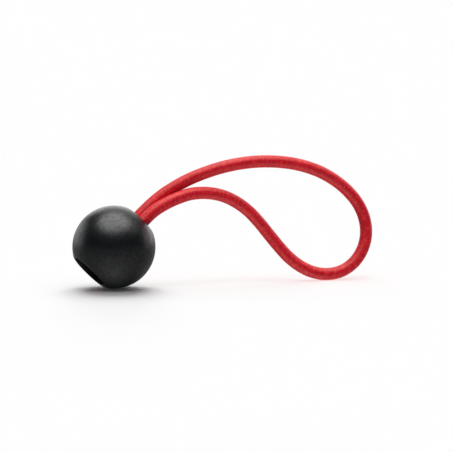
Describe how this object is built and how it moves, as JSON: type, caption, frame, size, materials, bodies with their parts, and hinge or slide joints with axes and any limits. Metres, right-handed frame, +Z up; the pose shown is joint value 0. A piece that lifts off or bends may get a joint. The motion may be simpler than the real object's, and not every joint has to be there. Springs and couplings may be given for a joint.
{
  "type": "ball bungee cord",
  "caption": "Black moulded ball with a loop of red braided elastic cord, whose ends are knotted together inside the ball's bore.",
  "frame": {"origin": "foot of the ball, where it touches the surface that the part lies on", "axes": "+Z up, +X from the ball towards the far end of the loop, +Y across the upright plane that the loop lies in"},
  "size_m": [0.1075, 0.028, 0.0435],
  "materials": {
    "ball_plastic": "fine moulded satin, near black",
    "braid": "tight bright red polyester braid",
    "latex": "plain cream rubber threads",
    "melted_braid": "smooth dark red bead left by heat"
  },
  "bodies": {
    "cord": {"knotted_end_upper": "braid", "knotted_end_lower": "braid", "sealed_tip_upper": "melted_braid", "sealed_tip_lower": "melted_braid", "upper_leg_sheath": "braid", "upper_leg_core": "latex", "lower_leg_sheath": "braid", "lower_leg_core": "latex"},
    "ball": {"ball": "ball_plastic"},
    "bight": {"bight_sheath": "braid", "bight_core": "latex"}
  },
  "joints": [
    {"name": "ball_slide", "type": "slide", "parent": "cord", "child": "ball", "axis": [0.7254, 0, 0.6884], "range_m": [0, 0.008]},
    {"name": "loop_stretch", "type": "slide", "parent": "cord", "child": "bight", "axis": [1, 0, 0], "range_m": [0, 0.1], "stiffness_N_per_m": 650, "deforming": ["upper_leg_sheath", "upper_leg_core", "lower_leg_sheath", "lower_leg_core"]}
  ]
}
